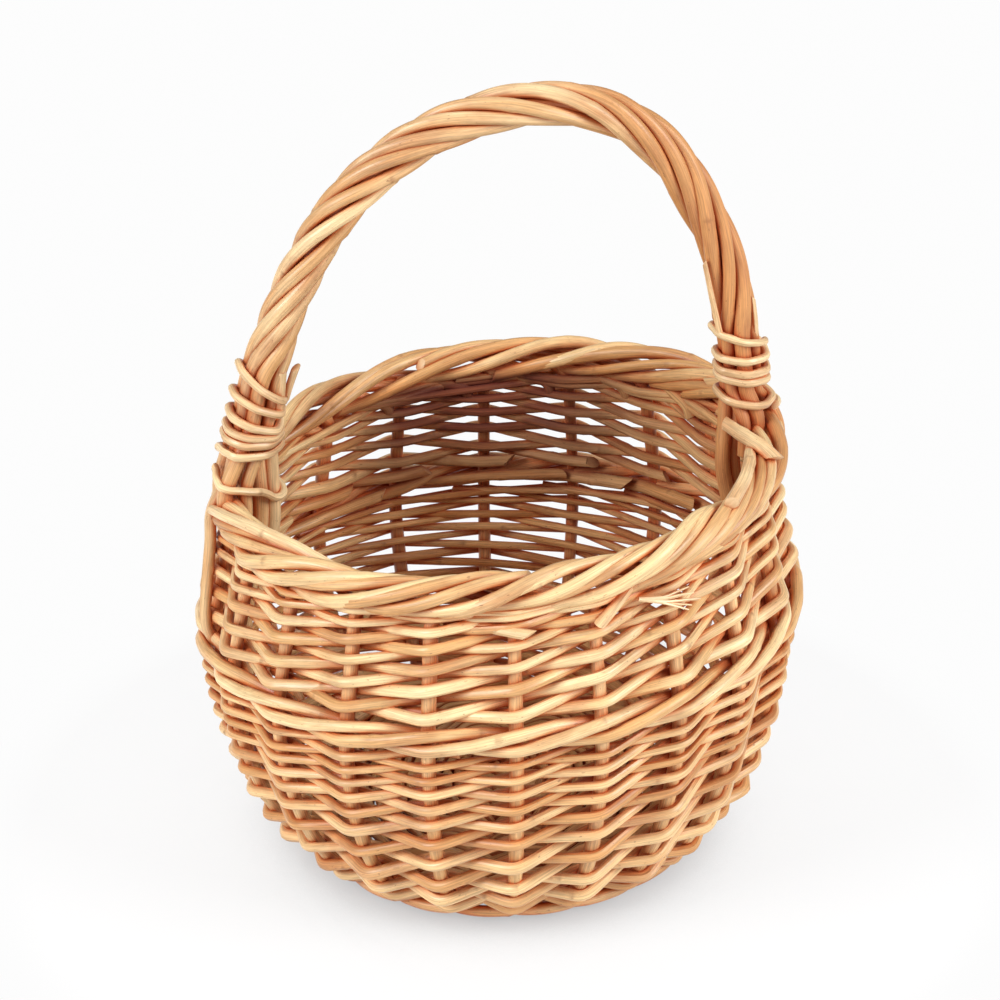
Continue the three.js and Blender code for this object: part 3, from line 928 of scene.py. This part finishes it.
def bundle_outline(distance):
    """How far out a tight cord lies, for each of the facings, at this distance along the bow."""
    centre, tangent, outward = bow_frame(distance)
    front = np.array([0.0, -1.0, 0.0])
    pressed = []
    for line, radius in [(line, wrap_radius) for line in wrap_lines] + [(bow_line, bow_radius)]:
        off = line[np.linalg.norm(line - centre, axis=1) < bundle_reach] - centre
        spot = off[np.argmin(np.abs(off @ tangent))]
        across, ahead = spot @ outward, spot @ front
        pressed.append(across * np.cos(facings) + ahead * np.sin(facings) + radius + binding_lift)
    support = np.max(pressed, axis=0)
    gap = np.cos(facings[None] - facings[:, None])
    return np.where(gap > 0.05, support[None] / np.maximum(gap, 0.05), np.inf).min(axis=1)


def bind_foot(side, turns):
    """turns holds the height above the leg's start at each half turn, front and back."""
    leg = left_leg_distance if side < 0 else right_leg_distance
    half_turns = np.arange(0, len(turns) - 1, 1 / 18)
    height = np.interp(half_turns, np.arange(len(turns)), turns)
    height = np.convolve(np.pad(height, 4, "edge"), np.ones(9) / 9, "valid")
    spots = []
    for place, rise in zip(half_turns, height):
        facing = (-side * np.pi * place) % (2 * np.pi)
        outline = bundle_outline(leg - side * rise)
        reach = np.interp(facing, np.append(facings, 2 * np.pi), np.append(outline, outline[0]))
        spots.append(beside_bow(leg - side * rise, np.array(reach), np.array(facing)))
    return np.array(spots)


# %% Bindings at the two feet
left_turns = [-12.4, -27, -5.2, -8.8, -1.6, -5.4, 0.8, -2.8, 5.4, -0.9, 12, 5.4, 20.8, 9.4]
right_turns = [-3, 2, -1.2, 9.4, 6.4, 12, 9.2, 16.8, 13.2, 26.6, 17]
binding_pieces = []
for side, word, turns in ((-1, "left", left_turns), (1, "right", right_turns)):
    line = ease(bind_foot(side, turns), 0.7, 0.9)
    print("binding", word, "mm:", round(distances_along(line)[-1]))
    rod = loft_rod(line, [1.3, 1.5, 1.25], 610 + side, sides=10, cuts=(0.8, 0.8), tone=0.2)
    name, node = f"willow_binding_{word}", f"handle_binding_{word}"
    binding_pieces.append(make_piece(name, [rod], "binding", "willow_binding", node))
report("bindings", binding_pieces)

# %% [markdown]
# ## Cut ends
#
# A maker trims a basket last, and some ends stay: tails beside the bindings, a short rod laid
# across the border at each foot, tips that come out under the border, and one that the knife
# frayed. They carry no weight, so each is a short rod of its own, lofted as the others are.

# %% Short rods by their spots
def over_border(*spots):
    """A rod laid over the border, by position, degrees round the border and reach."""
    return [border_point(at, math.radians(phase), reach) for at, phase, reach in spots]


def under_border(*spots):
    """A tip below the border, by position, distance below the wall's top and distance out."""
    return [wall_point(stake_angle(at), wall_length - below, out) for at, below, out in spots]


stubs = {
    "left_inner": ([(-68.4, -2.4, 152), (-67.7, -2.6, 159), (-66.9, -2.8, 166.8)], (2.0, 1.9)),
    "left_back": ([(-65.8, 0.5, 155), (-64.4, -0.4, 160), (-62.4, -1.4, 165.8)], (1.2, 1.2)),
    "right_tail": ([(69.6, -5.0, 171), (67.0, -5.6, 182), (63.9, -6.0, 196)], (1.0, 0.75)),
    "right_outer": ([(81.2, -2.5, 166), (80.9, -3.2, 174), (79.7, -3.6, 182.5)], (1.2, 0.9)),
    "right_crossing": (
        [(71.2, -8, 142.3), (75.2, -16.5, 141.9), (79.3, -25.5, 142.2), (82.2, -32, 140.6)],
        (2.1, 2.5),
    ),
    "right_top_rod": (
        over_border(
            (3.0, 62, 7.3), (3.5, 84, 7.6), (4.0, 108, 7.2),
            (4.5, 138, 6.0), (4.95, 172, 4.6), (5.3, 205, 3.6),
        ),
        (2.2, 1.9),
    ),
    "left_top_rod": (
        over_border(
            (15.1, 20, 6.6), (15.6, 55, 7.4), (16.2, 88, 7.5), (16.9, 122, 6.8), (17.5, 155, 5.0)
        ),
        (1.7, 2.1),
    ),
    "front_tip_left": (
        under_border((-0.42, 3.6, -1.5), (-0.13, 4.6, 2.4), (0.16, 5.6, 6.3)), (1.6, 1.85)
    ),
    "front_tip_right": (
        under_border((1.5, -1, 0.5), (1.23, 2.6, 3.45), (0.96, 6.2, 6.4)), (1.6, 1.85)
    ),
}
slots = dict(left_inner="wrap", left_back="binding", right_tail="binding", right_outer="wrap")
stub_pieces = []
for number, (name, (spots, radii)) in enumerate(stubs.items()):
    rod = loft_rod(ease(spots, 2.5, 1.2), radii, 650 + number, sides=10, cuts=(0.5, 1.1), tone=0.3)
    slot = f"willow_{slots.get(name, 'stake')}"
    stub_pieces.append(make_piece(f"willow_cut_end_{name}", [rod], "binding", slot))

# %% The frayed end
fibres = []
fray = np.random.default_rng(660)
for strand in range(7):
    out, below, far = fray.uniform(5.0, 8.0), fray.uniform(1, 9), fray.uniform(2.0, 2.3)
    spots = under_border((1.5, 3, 4.2), (1.8, 4 + 0.3 * below, 5.6), (far, 2 + below, out))
    line, radii = ease(spots, 1.2, 1.2), [0.7, 0.45, 0.25]
    fibres.append(loft_rod(line, radii, 670 + strand, sides=6, tone=0.1))
stub_pieces.append(make_piece("willow_frayed_end", fibres, "binding", "willow_stake"))
report("cut ends", stub_pieces)

# %% [markdown]
# ## The finish of peeled willow
#
# Willow that is boiled before it is peeled turns a warm honey colour. Its skin is smooth and a
# little glossy. Seen close, fine fibres run along it, patches are paler or redder, each bud
# leaves a dark scar, and a cut face is cream with darker streaks. Where rods touch, the grooves
# are painted darker and redder as shade. One node group makes the pattern from the rod's own
# `grain`, so no fibre runs across a rod, and each material places the group with its own tones.

# %% Short names for what the node trees do most
white = (1, 1, 1, 1)


def fill(tree, node, inputs):
    """Each input gets another node's output, or a plain number, colour or vector."""
    for label, value in inputs.items():
        if hasattr(value, "links"):
            tree.links.new(value, node.inputs[label])
        else:
            node.inputs[label].default_value = value


def add(tree, kind, inputs, **settings):
    node = tree.nodes.new(f"ShaderNode{kind}")
    for label, value in settings.items():
        setattr(node, label, value)
    fill(tree, node, inputs)
    return node


def mix(tree, share, first, second, blend="MIX"):
    ends = {0: share, 6: first, 7: second}
    return add(tree, "Mix", ends, data_type="RGBA", blend_type=blend).outputs[2]


def math_node(tree, operation, first, second):
    return add(tree, "Math", {0: first, 1: second}, operation=operation).outputs[0]


def times(tree, first, second):
    return math_node(tree, "MULTIPLY", first, second)


def reshape(tree, value, low, high, to_low=0.0, to_high=1.0):
    """A smooth step of the value between low and high."""
    ends = {"From Min": low, "From Max": high, "To Min": to_low, "To Max": to_high, "Value": value}
    return add(tree, "MapRange", ends, interpolation_type="SMOOTHSTEP").outputs["Result"]


def stretched_noise(tree, grain, stretch, scale, detail, roughness):
    mapping = add(tree, "Mapping", {"Vector": grain, "Scale": (1, 1, stretch)})
    look = {"Scale": scale, "Detail": detail, "Roughness": roughness}
    return add(tree, "TexNoise", {"Vector": mapping.outputs["Vector"], **look}).outputs["Fac"]


# %% The node group for willow skin
willow_sockets = (
    ("Grain", "Vector", "INPUT", None),
    ("Marks", "Vector", "INPUT", None),
    ("Pale", "Color", "INPUT", (0.80, 0.52, 0.27, 1)),
    ("Honey", "Color", "INPUT", (0.66, 0.36, 0.15, 1)),
    ("Russet", "Color", "INPUT", (0.42, 0.17, 0.06, 1)),
    ("Staining", "Float", "INPUT", 0.5),
    ("Color", "Color", "OUTPUT", None),
    ("Roughness", "Float", "OUTPUT", None),
    ("Height", "Float", "OUTPUT", None),
)
# Each noise: stretch along the rod, scale, detail and roughness.
willow_noises = {
    "patches": (0.25, 170, 3, 0.55),
    "fibres": (0.03, 2600, 4, 0.65),
    "streaks": (0.06, 900, 3, 0.55),
    "stains": (0.5, 60, 4, 0.6),
    "flecks": (0.4, 1400, 2, 0.55),
}
fleck_colour, scar_colour = (0.16, 0.06, 0.025, 1), (0.24, 0.10, 0.04, 1)
pith_colour, streak_colour = (0.74, 0.52, 0.30, 1), (0.50, 0.30, 0.14, 1)
skin_roughness = (0.3, 0.7, 0.32, 0.5)


def build_willow_group():
    group = bpy.data.node_groups.new("Willow skin", "ShaderNodeTree")
    for name, kind, way, value in willow_sockets:
        socket = group.interface.new_socket(name=name, socket_type=f"NodeSocket{kind}", in_out=way)
        if value is not None:
            socket.default_value = value
    inputs = group.nodes.new("NodeGroupInput").outputs
    tone, scar, cut = add(group, "SeparateXYZ", {0: inputs["Marks"]}).outputs
    patches, fibres, streaks, stains, flecks = (
        stretched_noise(group, inputs["Grain"], *look) for look in willow_noises.values()
    )
    warm = math_node(group, "ADD", times(group, patches, 0.75), times(group, tone, 0.6))
    warm = math_node(group, "ADD", warm, times(group, streaks, 0.35))
    skin = mix(group, reshape(group, warm, 0.58, 1.12), inputs["Pale"], inputs["Honey"])
    stained = times(group, reshape(group, stains, 0.44, 0.7), inputs["Staining"])
    skin = mix(group, stained, skin, inputs["Russet"])
    shade = reshape(group, fibres, 0.3, 0.75, 0.66, 1.12)
    grey = add(group, "CombineXYZ", {axis: shade for axis in range(3)}).outputs[0]
    skin = mix(group, 1.0, skin, grey, "MULTIPLY")
    for mark, low, high, colour in (
        (flecks, 0.66, 0.76, fleck_colour),
        (scar, 0.25, 1.0, scar_colour),
    ):
        skin = mix(group, times(group, reshape(group, mark, low, high), 0.6), skin, colour)
    skin = mix(group, cut, skin, mix(group, streaks, pith_colour, streak_colour))
    height = math_node(group, "ADD", times(group, fibres, 0.5), times(group, streaks, 0.5))
    results = {"Color": skin, "Roughness": reshape(group, streaks, *skin_roughness)}
    fill(group, group.nodes.new("NodeGroupOutput"), results | {"Height": height})
    return group


willow_group = build_willow_group()
print("node group:", willow_group.name, "sockets:", len(willow_group.interface.items_tree))

# %% One material for each kind of rod
# Painted shade: the tints for the grooves between rods and for the inside of the basket.
groove_shade_tint, groove_shade_reach, groove_shade_fade = (0.86, 0.27, 0.11, 1), 0.008, (0.10, 0.92)
inside_shade_mid_tint, inside_shade_mid_at = (1, 0.84, 0.70, 1), 0.3
shade_tint, shade_dulling = (0.19, 0.056, 0.024, 1), (0.1, 0.4, 0.0, 0.4)
fibre_strength, fibre_height = 0.35, 0.0002
tones = {
    "base": ((0.68, 0.42, 0.19), (0.47, 0.24, 0.09), (0.31, 0.13, 0.05), 0.6),
    "stake": ((0.82, 0.58, 0.29), (0.61, 0.32, 0.12), (0.44, 0.17, 0.06), 0.6),
    "wale": ((0.86, 0.63, 0.33), (0.67, 0.37, 0.14), (0.45, 0.18, 0.06), 0.6),
    "lower_siding": ((0.84, 0.57, 0.28), (0.64, 0.33, 0.12), (0.46, 0.17, 0.06), 0.6),
    "upper_siding": ((0.88, 0.67, 0.36), (0.70, 0.40, 0.16), (0.48, 0.19, 0.07), 0.55),
    "handle": ((0.78, 0.56, 0.30), (0.59, 0.31, 0.12), (0.43, 0.16, 0.06), 0.6),
    "binding": ((0.82, 0.60, 0.33), (0.67, 0.38, 0.17), (0.46, 0.19, 0.07), 0.5),
}


def willow_material(finish, pale, honey, russet, staining):
    """Group colour, with painted shade: reddened in the grooves between rods and darkened where it
    is sheltered.
    """
    material = bpy.data.materials.new(f"{finish.replace('_', ' ').capitalize()} willow")
    material.use_nodes = True
    tree = material.node_tree
    grain, marks, inside = (
        add(tree, "Attribute", {}, attribute_name=label).outputs
        for label in ("grain", "rod_marks", "inside")
    )
    looks = {"Grain": grain["Vector"], "Marks": marks["Vector"], "Staining": staining}
    looks |= {"Pale": (*pale, 1), "Honey": (*honey, 1), "Russet": (*russet, 1)}
    skin = add(tree, "Group", looks, node_tree=willow_group).outputs
    # Painted shade: ambient occlusion darkens and reddens the grooves where rods touch.
    shelter = add(tree, "AmbientOcclusion", {"Distance": groove_shade_reach}, samples=6).outputs["AO"]
    groove = mix(tree, reshape(tree, shelter, *groove_shade_fade), groove_shade_tint, white)
    colour = mix(tree, 1.0, skin["Color"], groove, "MULTIPLY")
    # Painted shade: by its `inside` share, a rod is tinted darker and redder, down to the dark
    # shade tint.
    inside_shade = add(tree, "ValToRGB", {"Fac": inside["Fac"]})
    inside_shade.color_ramp.elements[0].color = white
    inside_shade.color_ramp.elements[1].color = shade_tint
    inside_shade.color_ramp.elements.new(inside_shade_mid_at).color = inside_shade_mid_tint
    colour = mix(tree, 1.0, colour, inside_shade.outputs["Color"], "MULTIPLY")
    dulled = reshape(tree, inside["Fac"], *shade_dulling)
    relief = {"Strength": fibre_strength, "Distance": fibre_height}
    bump = add(tree, "Bump", {"Height": skin["Height"], **relief})
    rough = math_node(tree, "ADD", skin["Roughness"], dulled)
    surface = {"Base Color": colour, "Roughness": rough, "Normal": bump.outputs["Normal"]}
    fill(tree, tree.nodes["Principled BSDF"], surface | {"Specular IOR Level": 0.5})
    return material


finishes = {finish: willow_material(finish, *looks) for finish, looks in tones.items()}
for name, finish in finish_of.items():
    bpy.data.objects[name].data.materials.append(finishes[finish])
print("materials:", len(finishes), "dressed pieces:", len(finish_of))

# %% [markdown]
# ## Floor, light and background
#
# The basket stands on a flat white sheet in a pale room. Two broad lamps, left and right of the
# camera and above it, light both sides of the wall and leave the far inside dark, which the rods'
# painted shade darkens further. A weak lamp overhead and a low, wide one in front fill the
# shadows. The sheet is brightened where the camera or a reflection sees it, and more so further
# out, so it fades into the room while a soft shadow stays below: partly the real shadow on the
# cloth, and partly a painted contact shadow, where the glow is dimmed near the basket.

# %% Sheet and backdrop
background = (0.98, 0.98, 0.98, 1)
behind_basket = (0, 0.11, 0)
painted_shadow_reach, painted_shadow_fade = 0.07, (0.10, 0.62, 0.58, 1.0)
near_fade, far_fade = (0.05, 0.10, 0.3, 0.84), (0.09, 0.18)


def blend_into(tree, output, share, first, second):
    """Shows the first shader, and the second by its share."""
    blend = add(tree, "MixShader", {0: share, 1: first.outputs[0], 2: second.outputs[0]})
    fill(tree, tree.nodes[output], {"Surface": blend.outputs[0]})


bpy.ops.object.select_all(action="DESELECT")
bpy.ops.mesh.primitive_plane_add(size=6, location=(0, 0, -0.0004))
sheet = bpy.context.object
sheet.name = "white_sheet"
bpy.ops.object.transform_apply(location=True, rotation=True, scale=True)

sheet_material = bpy.data.materials.new("White sheet")
sheet_material.use_nodes = True
tree = sheet_material.node_tree
cloth = tree.nodes["Principled BSDF"]
fill(tree, cloth, {"Base Color": (0.82, 0.82, 0.825, 1), "Roughness": 0.9})
# Painted shadow: ambient occlusion dims the sheet's glow near the basket.
painted_contact_shadow = add(tree, "AmbientOcclusion", {"Distance": painted_shadow_reach}).outputs["AO"]
strength = reshape(tree, painted_contact_shadow, *painted_shadow_fade)
glow = add(tree, "Emission", {"Color": background, "Strength": strength})
ray = add(tree, "LightPath", {}).outputs
seen = math_node(tree, "MAXIMUM", ray["Is Camera Ray"], ray["Is Glossy Ray"])
spot = add(tree, "NewGeometry", {}).outputs["Position"]
far = add(tree, "VectorMath", {0: spot}, operation="LENGTH").outputs["Value"]
behind = add(tree, "VectorMath", {0: spot, 1: behind_basket}, operation="DISTANCE")
near_share = reshape(tree, behind.outputs["Value"], *near_fade)
share = math_node(tree, "MAXIMUM", near_share, reshape(tree, far, *far_fade))
blend_into(tree, "Material Output", times(tree, seen, share), cloth, glow)
sheet.data.materials.append(sheet_material)
print("sheet nodes:", len(tree.nodes))


# %% Lamps and world
def add_lamp(name, place, size, energy, height=None):
    bpy.ops.object.light_add(type="AREA", location=place)
    lamp = bpy.context.object
    lamp.name = name
    lamp.data.shape = "RECTANGLE" if height else "DISK"
    lamp.data.size = size
    lamp.data.size_y = height or size
    lamp.data.energy = energy
    lamp.rotation_euler = (Vector((0, 0, 0.1)) - Vector(place)).to_track_quat("-Z", "Y").to_euler()


add_lamp("left_lamp", (-1.30, -0.64, 1.0), size=0.9, energy=27)
add_lamp("right_lamp", (1.25, -0.80, 1.0), size=0.9, energy=27)
add_lamp("overhead_lamp", (0, 0.15, 1.70), size=1.2, energy=6)
add_lamp("front_lamp", (0, -1.9, 0.36), size=3.2, energy=7, height=0.5)

world = bpy.data.worlds.new("Pale room")
bpy.context.scene.world = world
world.use_nodes = True
tree = world.node_tree
room = tree.nodes["Background"]
fill(tree, room, {"Color": (0.97, 0.98, 1.0, 1), "Strength": 0.29})
backdrop = add(tree, "Background", {"Color": background, "Strength": 1.0})
seen = add(tree, "LightPath", {}).outputs["Is Camera Ray"]
blend_into(tree, "World Output", seen, room, backdrop)
bpy.context.scene.view_settings.view_transform = "Standard"
